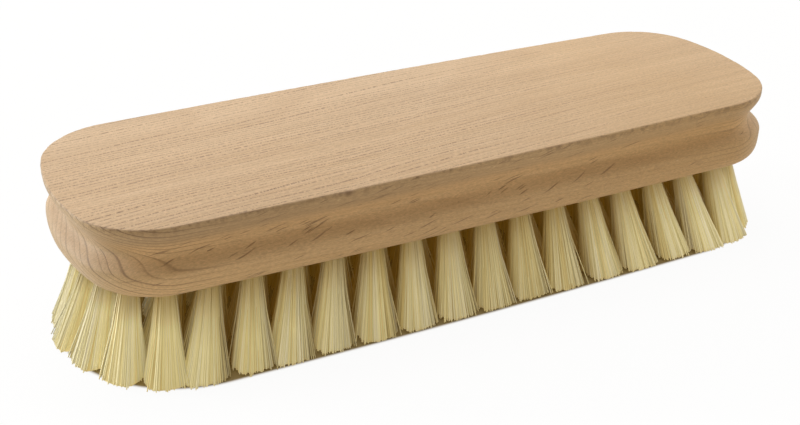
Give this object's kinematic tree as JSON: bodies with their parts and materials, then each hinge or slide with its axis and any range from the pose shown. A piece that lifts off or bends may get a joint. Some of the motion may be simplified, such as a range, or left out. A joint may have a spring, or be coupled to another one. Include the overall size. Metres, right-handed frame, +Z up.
{
  "type": "shoe shine brush",
  "caption": "Rounded beech block with a flat top and a finger cove all round, set below with rows of pale bristle tufts for polishing shoes.",
  "frame": {"origin": "on the floor under the middle of the brush, with the trimmed bristle tips at z = 0", "axes": "+X along the block's length, +Y across it, +Z up from the bristle tips to the flat top; the picture's near long side faces -Y and its left end is -X"},
  "size_m": [0.187, 0.0662, 0.0368],
  "materials": {
    "beech": "bare, finely sanded beech",
    "bristle": "pale yellow bristle with a soft sheen",
    "anchor_wire": "drawn flat wire"
  },
  "bodies": {
    "root": {"brush_block": "beech", "outer_bristle_ring": "bristle", "inner_bristle_row_1": "bristle", "inner_bristle_row_2": "bristle", "inner_bristle_row_3": "bristle", "tuft_anchor_01": "anchor_wire", "tuft_anchor_02": "anchor_wire", "tuft_anchor_03": "anchor_wire", "tuft_anchor_04": "anchor_wire", "tuft_anchor_05": "anchor_wire", "tuft_anchor_06": "anchor_wire", "tuft_anchor_07": "anchor_wire", "tuft_anchor_08": "anchor_wire", "tuft_anchor_09": "anchor_wire", "tuft_anchor_10": "anchor_wire", "tuft_anchor_11": "anchor_wire", "tuft_anchor_12": "anchor_wire", "tuft_anchor_13": "anchor_wire", "tuft_anchor_14": "anchor_wire", "tuft_anchor_15": "anchor_wire", "tuft_anchor_16": "anchor_wire", "tuft_anchor_17": "anchor_wire", "tuft_anchor_18": "anchor_wire", "tuft_anchor_19": "anchor_wire", "tuft_anchor_20": "anchor_wire", "tuft_anchor_21": "anchor_wire", "tuft_anchor_22": "anchor_wire", "tuft_anchor_23": "anchor_wire", "tuft_anchor_24": "anchor_wire", "tuft_anchor_25": "anchor_wire", "tuft_anchor_26": "anchor_wire", "tuft_anchor_27": "anchor_wire", "tuft_anchor_28": "anchor_wire", "tuft_anchor_29": "anchor_wire", "tuft_anchor_30": "anchor_wire", "tuft_anchor_31": "anchor_wire", "tuft_anchor_32": "anchor_wire", "tuft_anchor_33": "anchor_wire", "tuft_anchor_34": "anchor_wire", "tuft_anchor_35": "anchor_wire", "tuft_anchor_36": "anchor_wire", "tuft_anchor_37": "anchor_wire", "tuft_anchor_38": "anchor_wire", "tuft_anchor_39": "anchor_wire", "tuft_anchor_40": "anchor_wire", "tuft_anchor_41": "anchor_wire", "tuft_anchor_42": "anchor_wire"}
  },
  "joints": []
}
